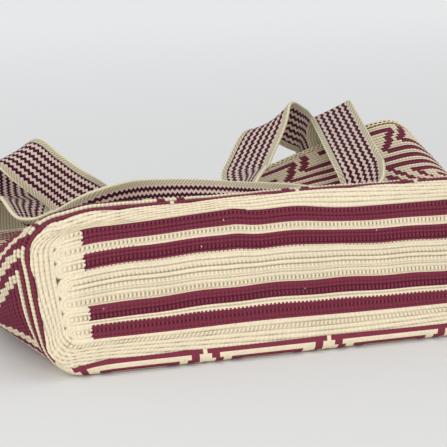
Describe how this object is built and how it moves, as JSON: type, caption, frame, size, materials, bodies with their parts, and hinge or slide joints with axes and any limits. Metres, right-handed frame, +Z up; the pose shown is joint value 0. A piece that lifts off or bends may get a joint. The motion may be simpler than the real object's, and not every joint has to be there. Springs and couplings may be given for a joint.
{
  "type": "tote bag",
  "caption": "Crocheted tote bag with a flat rectangular base, soft walls, an open mouth and flat woven strap handles, lying on one broad wall.",
  "frame": {"origin": "on the floor, under the middle of the bag's depth and of its base's length", "axes": "+X along the base panel to the right, +Y from the base panel back towards the mouth, +Z up from the wall that lies on the floor"},
  "size_m": [0.4394, 0.3566, 0.1286],
  "materials": {
    "crochet_cotton": "matt crocheted cotton yarn, cream with maroon colour work",
    "woven_strap": "matt woven cotton webbing, dark zigzag lines between cream borders"
  },
  "bodies": {
    "root": {"bag_body": "crochet_cotton", "upper_handle": "woven_strap", "lower_handle": "woven_strap"}
  },
  "joints": []
}
